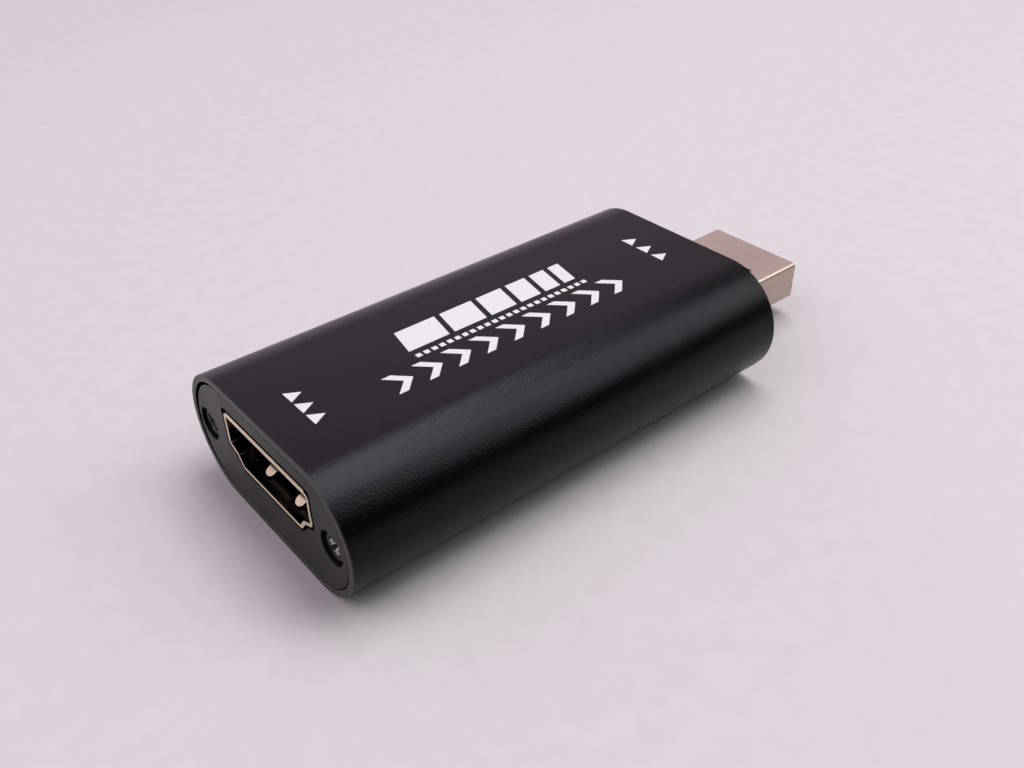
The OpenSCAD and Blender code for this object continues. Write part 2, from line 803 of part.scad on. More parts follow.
sleeve();
input_end_plate();
output_end_plate();
end_screws();
circuit_board();
socket_shell();
socket_insulator();
socket_contacts();
upper_left_latch_spring();
upper_right_latch_spring();
lower_left_latch_spring();
lower_right_latch_spring();
plug_shell();
plug_insulator();
plug_contacts();
capture_chip();
memory_chip();
voltage_regulators();
surge_arrays();
clock_crystal();
power_choke();
capacitors();
resistors();
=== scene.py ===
# %% [markdown]
# # A video capture box, dressed in Blender
# The object is a palm-sized box: an oval metal sleeve, a video socket at one end and a flat data
# plug at the other. The construction comes from the frame, in metres, and is never moved. This
# lesson models the pieces that show, one after the other, and gives every piece the finish that the
# real one has.

# %% Load the frame
import math
from contextlib import contextmanager

import bmesh
import bpy
from mathutils import Matrix, Vector


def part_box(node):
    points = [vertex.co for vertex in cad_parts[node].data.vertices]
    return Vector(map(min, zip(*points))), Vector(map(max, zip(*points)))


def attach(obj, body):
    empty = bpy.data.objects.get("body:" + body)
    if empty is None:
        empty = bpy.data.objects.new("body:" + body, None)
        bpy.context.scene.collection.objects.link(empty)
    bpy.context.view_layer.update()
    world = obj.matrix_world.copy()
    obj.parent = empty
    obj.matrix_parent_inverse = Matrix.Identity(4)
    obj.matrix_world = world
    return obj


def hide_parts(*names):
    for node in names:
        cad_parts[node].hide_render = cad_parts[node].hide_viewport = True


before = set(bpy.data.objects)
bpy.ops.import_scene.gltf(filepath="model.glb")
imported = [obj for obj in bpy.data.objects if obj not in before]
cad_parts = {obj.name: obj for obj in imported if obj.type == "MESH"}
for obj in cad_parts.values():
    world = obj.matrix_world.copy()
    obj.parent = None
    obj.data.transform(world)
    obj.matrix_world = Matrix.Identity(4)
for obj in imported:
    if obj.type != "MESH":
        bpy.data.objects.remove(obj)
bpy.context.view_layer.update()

# %% [markdown]
# ## Working in millimetres
# The box is 65 mm long, and its smallest edges are a few hundredths of a millimetre. Blender's
# tools merge and cut with tolerances that suit larger numbers, so each piece is modelled with one
# unit for one millimetre. The last step of each piece shrinks it to metres, about the origin that
# it shares with the frame.

# %% Sizes taken from the frame
MM = 0.001
CLOSE = 1e-4  # places that are nearer than this, in millimetres, are one place


def span(node):
    """The lowest and highest corner of a node, in millimetres."""
    low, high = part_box(node)
    return low / MM, high / MM


sleeve_low, sleeve_high = span("sleeve")
sleeve_start = sleeve_low.x
sleeve_end = sleeve_high.x
middle_z = sleeve_high.z / 2
flat_w = sleeve_high.y - sleeve_low.y - sleeve_high.z
print(f"sleeve {sleeve_end - sleeve_start:.1f} mm long, flat top {flat_w:.1f} mm wide")

# %% [markdown]
# ## A few hands
# Modelling by hand is a small set of moves: add a primitive, open it in edit mode, pick some faces
# or edges, push them about, close it, add a modifier and apply it. The helpers below are those
# moves. An operator works on all that is selected, so each of them starts by deselecting everything
# else.

# %% Adding and copying
ROD_SIDES = 48


def only(piece):
    """Selects one piece and makes it the active one."""
    bpy.ops.object.select_all(action="DESELECT")
    piece.select_set(True)
    bpy.context.view_layer.objects.active = piece


def primitive(add, **sizes):
    """Adds a primitive with nothing else selected, and puts its place into its mesh."""
    bpy.ops.object.select_all(action="DESELECT")
    add(**sizes)
    bpy.ops.object.transform_apply(location=True, rotation=True, scale=True)
    return bpy.context.object


def block(low, high):
    """A cube stretched between two corners."""
    low, high = Vector(low), Vector(high)
    return primitive(
        bpy.ops.mesh.primitive_cube_add, size=1, location=(low + high) / 2, scale=high - low
    )


def rod(radius, first, last, y, z):
    """A cylinder along X."""
    return primitive(
        bpy.ops.mesh.primitive_cylinder_add, vertices=ROD_SIDES, radius=radius, depth=last - first,
        location=((first + last) / 2, y, z), rotation=(0, math.pi / 2, 0),
    )


def copy_of(piece, move, turn=0.0):
    """A copy with its own mesh, turned about Z and moved."""
    only(piece)
    bpy.ops.object.duplicate(linked=False)
    twin = bpy.context.object
    twin.rotation_euler = (0, 0, turn)
    twin.location = move
    bpy.ops.object.transform_apply(location=True, rotation=True, scale=True)
    return twin


def gather(pieces):
    """Joins several pieces into the first."""
    only(pieces[0])
    for piece in pieces:
        piece.select_set(True)
    bpy.ops.object.join()
    return pieces[0]


print("hands that add:", [hand.__name__ for hand in (primitive, block, rod, copy_of, gather)])

# %% [markdown]
# In edit mode the lesson never counts faces. It picks them by a test on their place or their
# normal, so that each line reads as what is picked and why, and still holds when a size changes.

# %% Picking and pushing
SHARP = math.radians(40)  # edges that turn more than this are rounded off
ALONG = 0.9  # a face whose normal has this share along an axis looks along it


@contextmanager
def editing(piece):
    """Opens one piece in edit mode with all of it selected."""
    only(piece)
    bpy.ops.object.mode_set(mode="EDIT")
    bpy.ops.mesh.select_all(action="SELECT")
    yield
    bpy.ops.object.mode_set(mode="OBJECT")


def middle(part):
    """The middle of an edge or a face."""
    return sum((v.co for v in part.verts), Vector()) / len(part.verts)


def pick(kind, test):
    """In edit mode, selects only the vertices, edges or faces that pass a test."""
    bpy.ops.mesh.select_mode(type=kind)
    bpy.ops.mesh.select_all(action="DESELECT")
    mesh = bmesh.from_edit_mesh(bpy.context.edit_object.data)
    for part in {"VERT": mesh.verts, "EDGE": mesh.edges, "FACE": mesh.faces}[kind]:
        if test(part):
            part.select_set(True)
    bmesh.update_edit_mesh(bpy.context.edit_object.data)


def push(x=0, y=0, z=0):
    """Extrudes what is picked."""
    bpy.ops.mesh.extrude_region_move(TRANSFORM_OT_translate={"value": (x, y, z)})


def soften(piece, width, steps=2):
    """Rounds off every sharp edge of a piece."""
    with editing(piece):
        bpy.ops.mesh.select_mode(type="EDGE")
        bpy.ops.mesh.select_all(action="DESELECT")
        bpy.ops.mesh.edges_select_sharp(sharpness=SHARP)
        bpy.ops.mesh.bevel(offset=width, segments=steps, affect="EDGES", clamp_overlap=True)


print("hands that edit:", [hand.__name__ for hand in (editing, pick, push, soften)])

# %% [markdown]
# A modifier is added and applied at once, so that the mesh is what it looks like. When a piece is
# done, it is handed over: its doubles are merged, its shading is set, it shrinks to metres, and it
# is hung on the body that carries it. The node of the frame that it stands for is then hidden.

# %% Finishing a piece
SMOOTH_BELOW = math.radians(35)  # edges that turn less than this are shaded smooth
LARGE_FACES = 80  # how far the large faces lead the shading of the small rounds beside them


def modify(piece, kind, **settings):
    """Adds a modifier with these settings and applies it."""
    only(piece)
    modifier = piece.modifiers.new(kind.lower(), kind)
    for name, value in settings.items():
        setattr(modifier, name, value)
    bpy.ops.object.modifier_apply(modifier=modifier.name)


def combine(piece, tool, operation):
    """Cuts a tool out of a piece, or welds it on, and throws the tool away."""
    modify(piece, "BOOLEAN", operation=operation, object=tool, solver="EXACT")
    bpy.data.objects.remove(tool)


def hand_over(piece, name, body, finish, slot=None, stands_for=None):
    """Shades a finished piece, shrinks it to metres and hangs it on its body."""
    with editing(piece):
        bpy.ops.mesh.remove_doubles(threshold=CLOSE)
        bpy.ops.mesh.normals_make_consistent(inside=False)
    bpy.ops.object.shade_smooth_by_angle(angle=SMOOTH_BELOW)
    modify(piece, "WEIGHTED_NORMAL", keep_sharp=True, weight=LARGE_FACES)
    piece.scale = (MM, MM, MM)
    bpy.ops.object.transform_apply(location=True, rotation=True, scale=True)
    piece.name = piece.data.name = name
    piece.data.materials.clear()
    piece.data.materials.append(finish)
    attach(piece, body)
    if stands_for:
        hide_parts(stands_for)
    print(f"{name}: {len(piece.data.polygons)} faces")


def second_finish(piece, finish, test):
    """Gives another finish to the faces that pass a test of middle, in millimetres, and normal."""
    piece.data.materials.append(finish)
    chosen = [face for face in piece.data.polygons if test(face.center / MM, face.normal)]
    for face in chosen:
        face.material_index = len(piece.data.materials) - 1
    print(f"{piece.name}: {len(chosen)} faces in {finish.name}")


print("hands that finish:", [hand.__name__ for hand in (modify, combine, hand_over, second_finish)])

# %% [markdown]
# ## Camera
# The camera stands close, above the near corner of the input end. Its place, its turn and its lens
# are those that put the corners of the sleeve and of the plug where the picture of the object has
# them.

# %% Camera
camera_place = Vector((-57.3, -64.9, 63.0)) * MM
camera_turn = math.radians(38.83)
camera_tilt = math.radians(35.38)
camera_roll = math.radians(-1.32)

camera = bpy.data.objects.new("camera", bpy.data.cameras.new("camera"))
bpy.context.scene.collection.objects.link(camera)
camera.data.lens = 35.3
camera.data.sensor_width = 36
camera.data.clip_start = 0.005
camera.matrix_world = (
    Matrix.Translation(camera_place)
    @ Matrix.Rotation(-camera_turn, 4, "Z")
    @ Matrix.Rotation(math.pi / 2 - camera_tilt, 4, "X")
    @ Matrix.Rotation(camera_roll, 4, "Z")
)
bpy.context.scene.camera = camera
print("camera at", [round(v, 4) for v in camera_place])

# %% [markdown]
# ## Light and floor
# Black satin metal has almost no colour of its own: what shows is the room in it. One softbox hangs
# above the box and one stands on the right, and together they draw the pale band along the near
# shoulder. A weak one on the left opens the shade in the input end. The room is brightest high on
# the far side, which the flat top mirrors, and dark at the near horizon, which gives the dark band
# under the shoulder. The floor is plain and pale, and shows again in the lower half of the round
# side.

# %% Light and floor
scene = bpy.context.scene
scene.view_settings.view_transform = "Standard"


def softbox(name, place, width, depth, radiance):
    """A rectangular lamp at a place, turned towards the object."""
    lamp = bpy.data.lights.new(name, "AREA")
    lamp.shape = "RECTANGLE"
    lamp.size = width
    lamp.size_y = depth
    lamp.energy = radiance * math.pi * width * depth
    holder = bpy.data.objects.new(name, lamp)
    scene.collection.objects.link(holder)
    holder.location = place
    holder.rotation_euler = (-Vector(place)).to_track_quat("-Z", "Y").to_euler()


softbox("overhead_softbox", place=(0.17, -0.01, 0.6), width=0.54, depth=0.31, radiance=5.8)
softbox("side_softbox", place=(0.491, -0.344, 0.53), width=0.62, depth=0.46, radiance=3.0)
softbox("front_softbox", place=(-0.5, 0.1, 0.5), width=0.6, depth=0.6, radiance=1.65)

room = bpy.data.worlds.new("room")
scene.world = room
room.use_nodes = True
backdrop = room.node_tree.nodes["Background"]
backdrop.inputs["Color"].default_value = (1, 0.835, 0.99, 1)
direction = room.node_tree.nodes.new("ShaderNodeTexCoord")
lift = room.node_tree.nodes.new("ShaderNodeVectorMath")
lift.operation = "DOT_PRODUCT"
lift.inputs[1].default_value = (0, 0.8, 0.6)
brightness = room.node_tree.nodes.new("ShaderNodeMapRange")
brightness.interpolation_type = "SMOOTHSTEP"
brightness.inputs["From Min"].default_value = 0.3
brightness.inputs["From Max"].default_value = 0.95
brightness.inputs["To Min"].default_value = 0.02
brightness.inputs["To Max"].default_value = 1.0
room.node_tree.links.new(direction.outputs["Generated"], lift.inputs[0])
room.node_tree.links.new(lift.outputs["Value"], brightness.inputs["Value"])
room.node_tree.links.new(brightness.outputs["Result"], backdrop.inputs["Strength"])

floor = primitive(bpy.ops.mesh.primitive_plane_add, size=6)
floor.name = "floor"
print("lamps:", [lamp.name for lamp in bpy.data.lights])

# %% [markdown]
# ## Effects that several finishes share
# Three things happen to the surfaces of a box like this. Blasting leaves a fine grain, drawing
# sheet metal leaves faint lines along it, and hands leave soft smudges that change the gloss. Each
# is built once as a node group, and every finish places it with its own size.

# %% Node groups


def group(name, outputs):
    """A node group with a size, an object-space place and its outputs."""
    tree = bpy.data.node_groups.new(name, "ShaderNodeTree")
    tree.interface.new_socket("Size", in_out="INPUT", socket_type="NodeSocketFloat")
    for output in outputs:
        tree.interface.new_socket(output, in_out="OUTPUT", socket_type="NodeSocketFloat")
    given = tree.nodes.new("NodeGroupInput").outputs["Size"]
    place = tree.nodes.new("ShaderNodeTexCoord").outputs["Object"]
    return tree, given, place, tree.nodes.new("NodeGroupOutput").inputs


def noise(tree, place, size, detail, distortion=0.0):
    """A noise texture whose size comes from a socket."""
    node = tree.nodes.new("ShaderNodeTexNoise")
    node.inputs["Detail"].default_value = detail
    node.inputs["Distortion"].default_value = distortion
    tree.links.new(place, node.inputs["Vector"])
    tree.links.new(size, node.inputs["Scale"])
    return node.outputs["Fac"]


def spread(tree, value, low, high):
    """Spreads the middle of a noise over the whole range from 0 to 1."""
    node = tree.nodes.new("ShaderNodeMapRange")
    node.inputs["From Min"].default_value = low
    node.inputs["From Max"].default_value = high
    tree.links.new(value, node.inputs["Value"])
    return node.outputs["Result"]


def make_grain():
    """Fine blasted grain, as a tone and as a relief."""
    tree, size, place, result = group("blasted_grain", ["Tone", "Height"])
    fine = noise(tree, place, size, detail=3)
    tree.links.new(spread(tree, fine, low=0.3, high=0.7), result["Tone"])
    tree.links.new(fine, result["Height"])
    return tree


def make_smudges():
    """Soft patches left by hands."""
    tree, size, place, result = group("hand_smudges", ["Mask"])
    patches = noise(tree, place, size, detail=4, distortion=0.6)
    tree.links.new(spread(tree, patches, low=0.35, high=0.68), result["Mask"])
    return tree


def make_drawn_lines():
    """Faint lines along the box, as rolling and drawing leave them."""
    tree, size, place, result = group("drawn_lines", ["Tone"])
    stretch = tree.nodes.new("ShaderNodeMapping")
    stretch.inputs["Scale"].default_value = (0.03, 1, 1)
    tree.links.new(place, stretch.inputs["Vector"])
    lines = noise(tree, stretch.outputs["Vector"], size, detail=2)
    tree.links.new(spread(tree, lines, low=0.3, high=0.7), result["Tone"])
    return tree


grain_group = make_grain()
smudge_group = make_smudges()
line_group = make_drawn_lines()
print("node groups:", [tree.name for tree in bpy.data.node_groups])

# %% [markdown]
# ## Finishes
# A finish is one Principled shader. Its colour runs between a deep and a pale tone after the grain
# or the drawn lines, its gloss runs between two values after the smudges, and the grain gives it a
# little relief. What is the same all over the surface is set on the shader itself.

# %% A finish from its values


def placed(material, tree, size):
    """One of the shared effects, placed in a material at its own size."""
    node = material.node_tree.nodes.new("ShaderNodeGroup")
    node.node_tree = tree
    node.inputs["Size"].default_value = size
    return node.outputs


def ramp(material, mask, low, high):
    """A value that runs from low to high with a mask."""
    node = material.node_tree.nodes.new("ShaderNodeMapRange")
    node.inputs["To Min"].default_value = low
    node.inputs["To Max"].default_value = high
    material.node_tree.links.new(mask, node.inputs["Value"])
    return node.outputs["Result"]


def tint(material, mask, deep, pale):
    """A colour that runs from deep to pale with a mask."""
    node = material.node_tree.nodes.new("ShaderNodeMix")
    node.data_type = "RGBA"
    node.inputs["A"].default_value = (*deep, 1)
    node.inputs["B"].default_value = (*pale, 1)
    material.node_tree.links.new(mask, node.inputs["Factor"])
    return node.outputs["Result"]


def surface(name, deep, pale, rough, grain=None, drawn=None, relief=0.0, smudge=90, **fixed):
    """A grained or drawn finish of two tones and two levels of gloss, with relief in millimetres."""
    material = bpy.data.materials.new(name)
    material.use_nodes = True
    links = material.node_tree.links
    shader = material.node_tree.nodes["Principled BSDF"]
    if drawn:
        tone = height = placed(material, line_group, drawn)["Tone"]
    else:
        blasted = placed(material, grain_group, grain)
        tone, height = blasted["Tone"], blasted["Height"]
    links.new(tint(material, tone, deep, pale), shader.inputs["Base Color"])
    gloss = ramp(material, placed(material, smudge_group, smudge)["Mask"], *rough)
    links.new(gloss, shader.inputs["Roughness"])
    if relief:
        bump = material.node_tree.nodes.new("ShaderNodeBump")
        bump.inputs["Distance"].default_value = relief * MM
        links.new(height, bump.inputs["Height"])
        links.new(bump.outputs["Normal"], shader.inputs["Normal"])
    for socket, value in fixed.items():
        shader.inputs[socket.replace("_", " ")].default_value = value
    return material


print("effects that a finish places:", grain_group.name, line_group.name, smudge_group.name)

# %% [markdown]
# The sleeve was blasted, then dyed black in the anodising bath, so it is nearly black with a fine
# grain and a soft gloss. Its cut ends are paler, the plates are a smoother black, and the screws
# are blackened steel with painted glints: bright steel painted into the recesses where light
# catches. The floor is a matt pale sheet with the same effects at a larger size.

# %% The floor, and the finishes of the housing
floor.data.materials.append(surface(
    "pale_floor", deep=(0.475, 0.45, 0.464), pale=(0.495, 0.47, 0.484), rough=(0.75, 0.85),
    grain=400, smudge=20,
))
anodised = surface(
    "black_anodised", deep=(0.0008, 0.0006, 0.0009), pale=(0.002, 0.0016, 0.0022),
    rough=(0.23, 0.29), grain=5300, relief=0.028,
    IOR=1.2, Specular_IOR_Level=0.77, Specular_Tint=(0.91, 0.87, 1.0, 1),
)
cut_rim = surface(
    "cut_rim", deep=(0.015, 0.0138, 0.015), pale=(0.027, 0.0248, 0.027), rough=(0.36, 0.42),
    grain=7000, relief=0.006, Specular_IOR_Level=0.4,
)
plate_satin = surface(
    "plate_satin", deep=(0.006, 0.0054, 0.0058), pale=(0.012, 0.0109, 0.0114), rough=(0.34, 0.44),
    grain=7000, relief=0.008, Specular_IOR_Level=0.22,
)
black_oxide = surface(
    "black_oxide", deep=(0.014, 0.0135, 0.014), pale=(0.03, 0.0295, 0.031), rough=(0.3, 0.4),
    grain=6000, relief=0.003, Metallic=0.3,
)
# a painted glint: bright steel for the light caught in the recesses of the near screws
painted_glint_steel = surface(
    "painted_glint_steel", deep=(0.74, 0.73, 0.72), pale=(0.9, 0.89, 0.88), rough=(0.4, 0.5),
    grain=9000, relief=0.002, Metallic=0.6,
)
print("finishes so far:", len(bpy.data.materials))

# %% [markdown]
# Sheet metal is different: its plating is smooth inside the socket, where it mirrors the dark, and
# its colour there is darkened as painted shade. It is duller on its cut edges and on the plug, where
# it has been rubbed. The print is a matt white ink.

# %% The finishes of sheet metal and ink
# darker than bare nickel: painted shade for the inside of the socket, on top of the dark it mirrors
socket_plating = surface(
    "socket_plating", deep=(0.24, 0.195, 0.15), pale=(0.32, 0.265, 0.21), rough=(0.10, 0.16),
    drawn=9000, Metallic=1.0,
)
cut_edge = surface(
    "cut_edge", deep=(0.76, 0.65, 0.47), pale=(0.87, 0.76, 0.575), rough=(0.36, 0.46),
    grain=9000, relief=0.002, Metallic=1.0,
)
plug_plating = surface(
    "plug_plating", deep=(0.48, 0.392, 0.322), pale=(0.51, 0.418, 0.345), rough=(0.32, 0.4),
    drawn=9000, Metallic=1.0,
)
spring_bronze = surface(
    "spring_bronze", deep=(0.52, 0.42, 0.29), pale=(0.66, 0.56, 0.41), rough=(0.28, 0.36),
    grain=5000, relief=0.003, Metallic=1.0,
)
white_ink = surface(
    "white_ink", deep=(0.54, 0.532, 0.543), pale=(0.6, 0.592, 0.603), rough=(0.5, 0.6),
    grain=9000, relief=0.003, Specular_IOR_Level=0.2,
)
print("finishes so far:", len(bpy.data.materials))

# %% [markdown]
# ## Sleeve
# The sleeve is a cut length of extruded tube with an oval section. It could be lofted from a curve,
# but a machinist would see half a round bar on each side of a flat one, and that is quick to model:
# a tube is cut in half along its length, moved outwards, drawn in to the middle and mirrored.

# %% Oval bars and tubes
ROUND = 128


def oval(radius, flat, first, last, y=0.0, filled=True):
    """An oval bar, or a tube without ends, along X, with a flat of some width about y."""
    piece = primitive(
        bpy.ops.mesh.primitive_cylinder_add, vertices=ROUND, radius=radius, depth=last - first,
        end_fill_type="NGON" if filled else "NOTHING",
        location=((first + last) / 2, 0, middle_z), rotation=(0, math.pi / 2, 0),
    )
    with editing(piece):
        bpy.ops.mesh.bisect(
            plane_co=(0, 0, 0), plane_no=(0, 1, 0), clear_inner=True, threshold=CLOSE
        )
        bpy.ops.mesh.select_all(action="SELECT")
        bpy.ops.transform.translate(value=(0, flat / 2, 0))
        pick(
            "EDGE",
            lambda e: e.is_boundary and all(abs(v.co.y - flat / 2) < CLOSE for v in e.verts),
        )
        push(y=-flat / 2)
    modify(piece, "MIRROR", use_axis=(False, True, False), merge_threshold=CLOSE)
    with editing(piece):
        bpy.ops.mesh.normals_make_consistent(inside=False)
        bpy.ops.transform.translate(value=(0, y, 0))
    return piece


# %% [markdown]
# A wall is added to the tube inwards, and the cut ends get a small round, because the edge of the
# real one catches the light. The tube is drawn thinner than the frame by the thickness of the ink,
# so that the print on top of it ends where the frame ends.

# %% Tube of the sleeve
ink_t = 0.01
sleeve_wall = 0.7
rim_round = 0.1
sleeve_r = middle_z - ink_t

sleeve = oval(sleeve_r, flat_w, sleeve_start, sleeve_end, filled=False)
modify(sleeve, "SOLIDIFY", thickness=sleeve_wall - ink_t, offset=-1, use_even_offset=True)
soften(sleeve, rim_round, steps=3)
print("sleeve wall", sleeve_wall, "mm, rims rounded by", rim_round, "mm")

# %% [markdown]
# Inside, the extrusion carries an open channel for the screws and a rail under the board, on each
# side. A channel is a rod with a web to the wall. It is bored, and slotted towards the middle. One
# side is modelled and mirrored, and both are welded to the tube.

# %% Screw channels and rails
inside_start = span("input_end_plate")[1].x
inside_end = span("output_end_plate")[0].x
screw_y = 10.8
channel_r = 1.55
hole_r = 0.9
web_t = 1.2
slot_w = 0.7
rail_h = 0.9
rail_reach = 1.1
board_gap = 0.05
board_low, board_high = span("circuit_board")
wall_middle = sleeve_high.y - sleeve_wall / 2
past = 1  # how far a cutter runs past what it cuts

channel = rod(channel_r, inside_start, inside_end, screw_y, middle_z)
combine(channel, block(
    (inside_start, screw_y + hole_r, middle_z - web_t / 2),
    (inside_end, wall_middle, middle_z + web_t / 2),
), "UNION")
combine(
    channel, rod(hole_r, inside_start - past, inside_end + past, screw_y, middle_z), "DIFFERENCE"
)
combine(channel, block(
    (inside_start - past, screw_y - 2 * channel_r, middle_z - slot_w / 2),
    (inside_end + past, screw_y, middle_z + slot_w / 2),
), "DIFFERENCE")
rail_top = board_low.z - board_gap
rail = block(
    (inside_start, board_high.y - rail_reach, rail_top - rail_h),
    (inside_end, board_high.y + sleeve_wall / 2, rail_top),
)
guides = gather([channel, rail])
modify(guides, "MIRROR", use_axis=(False, True, False))
combine(sleeve, guides, "UNION")
hand_over(sleeve, "oval_sleeve", "housing", anodised, "black_anodised", "sleeve")

# %% [markdown]
# The cut ends were machined after the extrusion was blasted, so they are paler than the rest. They
# get a finish of their own, as a second slot on the faces that look along the sleeve, the rounded
# edges among them.

# %% Paler cut ends
rim_lean = 0.2


def on_rim(at, normal):
    """True for the faces of a cut end, and for its rounds."""
    return abs(normal.x) > rim_lean and min(at.x - sleeve_start, sleeve_end - at.x) < rim_round


second_finish(sleeve, cut_rim, on_rim)

# %% [markdown]
# ## The outline of the video socket
# The opening is a wide trapezium with shoulders: a flat floor, a short slope, a ledge and upright
# sides. The same outline, grown a little, is the cut-out in the plate, so it is made once. A disc
# with eight corners is laid out on the points, its corners are rounded, and it is pushed along the
# socket.

# %% Outline of the socket
socket_low, socket_high = span("socket_shell")
socket_y = (socket_low.y + socket_high.y) / 2
socket_wall = 0.35
socket_w = socket_high.y - socket_low.y - 2 * socket_wall
socket_h = 4.5
socket_lip = 0.2
socket_roof = socket_high.z - socket_lip - socket_wall
socket_floor = socket_roof - socket_h
floor_w = 10.0
shoulder_w = 11.5
shoulder_z = 1.05
ledge_z = 1.55
bend = 0.2


def grown(points, amount):
    """The outline with every side moved outwards by an amount."""
    result = []
    for k, here in enumerate(points):
        a = (here - points[k - 1]).normalized()
        b = (points[(k + 1) % len(points)] - here).normalized()
        out = Vector((a.y + b.y, -a.x - b.x))
        result.append(here + out * (amount / (1 + a.dot(b))))
    return result


def socket_bar(amount, raised, rounding, first, last):
    """A solid bar with the socket's outline, grown by an amount and raised at the roof."""
    half = [
        Vector((floor_w / 2, 0)), Vector((shoulder_w / 2, shoulder_z)),
        Vector((socket_w / 2, ledge_z)), Vector((socket_w / 2, socket_h + raised)),
    ]
    points = grown(half + [Vector((-p.x, p.y)) for p in reversed(half)], amount)
    piece = primitive(
        bpy.ops.mesh.primitive_circle_add, vertices=len(points), radius=1, fill_type="NGON"
    )
    with editing(piece):
        mesh = bmesh.from_edit_mesh(piece.data)
        for corner, point in zip(mesh.verts, points):
            corner.co = (first, socket_y + point.x, socket_floor + point.y)
        bmesh.update_edit_mesh(piece.data)
        bpy.ops.mesh.bevel(offset=rounding, segments=5, affect="VERTICES", clamp_overlap=True)
        bpy.ops.mesh.select_all(action="SELECT")
        push(x=last - first)
        bpy.ops.mesh.select_all(action="SELECT")
        bpy.ops.mesh.normals_make_consistent(inside=False)
    return piece


print(f"socket opening {socket_w:.1f} by {socket_h:.1f} mm, floor at {socket_floor:.2f} mm")

# %% [markdown]
# ## End plates
# A plate closes each end. It is the same oval bar, one wall and one gap smaller, and was screwed on
# against one side, so that a wider gap shows on the other. It has a counterbored hole for each
# screw and a cut-out for the connector. The holes are cut with rods, as a drill would, and all
# edges are broken.

# %% End plates
screw_low, screw_high = span("end_screws")
head_h = 1.0
counterbore_r = 1.65
counterbore_reach = 4
cutout_gap = 0.3
plate_edge = 0.06
plug_low, plug_high = span("plug_shell")
plug_edge = 0.45


def plug_bar(amount, first, last):
    """A solid bar with the plug's outline, grown by an amount."""
    piece = block(
        (first, plug_low.y - amount, plug_low.z - amount),
        (last, plug_high.y + amount, plug_high.z + amount),
    )
    with editing(piece):
        pick("EDGE", lambda e: abs((e.verts[0].co - e.verts[1].co).x) > CLOSE)
        bpy.ops.mesh.bevel(offset=plug_edge + amount, segments=6, affect="EDGES")
    return piece


def end_plate(node, name, seat, outwards, cutter):
    """The oval plate of a node, with its cut-out, its screw holes and broken edges."""
    low, high = span(node)
    depth = high.z - low.z
    piece = oval(depth / 2, high.y - low.y - depth, low.x, high.x, (low.y + high.y) / 2)
    combine(piece, cutter, "DIFFERENCE")
    for y in (-screw_y, screw_y):
        combine(piece, rod(hole_r, low.x - past, high.x + past, y, middle_z), "DIFFERENCE")
        first, last = sorted((seat, seat + counterbore_reach * outwards))
        combine(piece, rod(counterbore_r, first, last, y, middle_z), "DIFFERENCE")
    soften(piece, plate_edge)
    hand_over(piece, name, "housing", plate_satin, "end_plate", node)


end_plate(
    "input_end_plate", "input_plate", screw_low.x + head_h, -1,
    socket_bar(
        socket_wall + cutout_gap, socket_lip, bend + socket_wall,
        sleeve_start - past, inside_start + past,
    ),
)
end_plate(
    "output_end_plate", "output_plate", screw_high.x - head_h, 1,
    plug_bar(cutout_gap, inside_end - past, sleeve_end + past),
)

# %% [markdown]
# ## Screws
# Four small black screws hold the plates. The head is a disc with a rounded edge, and the wings of
# its cross recess slope up to their ends. In the near screw of each plate, the sides of the wings
# near the middle get a bright steel finish: a painted glint, standing in for light caught in the
# recess. One screw is modelled at the origin, with its wings cut where the painted glint ends, and
# four copies of it go to the holes.

# %% One screw
head_r = 1.5
head_edge = 0.32
shank_r = 0.85
shank_len = 6.0
recess_w = 0.6
recess_span = 1.9
recess_depth = 0.7
recess_foot = (0.35, 0.12)
glint_reach = 0.75
screw_edge = 0.02


def recess_wings(angle):
    """Two opposite wings of the cross recess, shorter and much narrower at the bottom."""
    wings = block((-past, -recess_span / 2, -recess_w / 2), (0, recess_span / 2, recess_w / 2))
    with editing(wings):
        pick("FACE", lambda f: f.normal.x > ALONG)
        push(x=recess_depth)
        bpy.ops.transform.resize(value=(1, *recess_foot))
        for y in (-glint_reach, glint_reach):
            bpy.ops.mesh.select_all(action="SELECT")
            bpy.ops.mesh.bisect(plane_co=(0, y, 0), plane_no=(0, 1, 0), threshold=CLOSE)
        bpy.ops.mesh.select_all(action="SELECT")
        bpy.ops.transform.rotate(value=angle, orient_axis="X", center_override=(0, 0, 0))
    return wings


screw = rod(head_r, 0, head_h, 0, 0)
with editing(screw):
    pick("FACE", lambda f: f.normal.x > ALONG)
    bpy.ops.mesh.inset(thickness=head_r - shank_r)
    push(x=shank_len)
    pick("EDGE", lambda e: middle(e).x < CLOSE)
    bpy.ops.mesh.bevel(offset=head_edge, segments=5, affect="EDGES")
for angle in (math.pi / 4, -math.pi / 4):
    combine(screw, recess_wings(angle), "DIFFERENCE")
soften(screw, screw_edge)
print("screw head", 2 * head_r, "mm across, recess", recess_span, "mm")

# %% Four screws
# where on the near screws the glint is painted as bright steel
glint_start = 0.03
glint_lean_min = 0.2
glint_lean_max = 0.6

screws = [
    copy_of(screw, (start, y, middle_z), turn)
    for start, turn in ((screw_low.x, 0), (screw_high.x, math.pi))
    for y in (-screw_y, screw_y)
]
bpy.data.objects.remove(screw)
cross_screws = gather(screws)
hand_over(cross_screws, "cross_screws", "housing", black_oxide, "black_screw", "end_screws")


def painted_glint_faces(at, normal):
    """True for the inner sides of the wings, in the screws of the near side, where the glint is
    painted.
    """
    depth = min(at.x - screw_low.x, screw_high.x - at.x)
    across = math.hypot(abs(at.y) - screw_y, at.z - middle_z)
    in_wing = glint_start < depth < recess_depth and across < glint_reach
    return at.y < 0 and in_wing and glint_lean_min < abs(normal.x) < glint_lean_max


# paints the glint onto the wing sides of the near screws
second_finish(cross_screws, painted_glint_steel, painted_glint_faces)

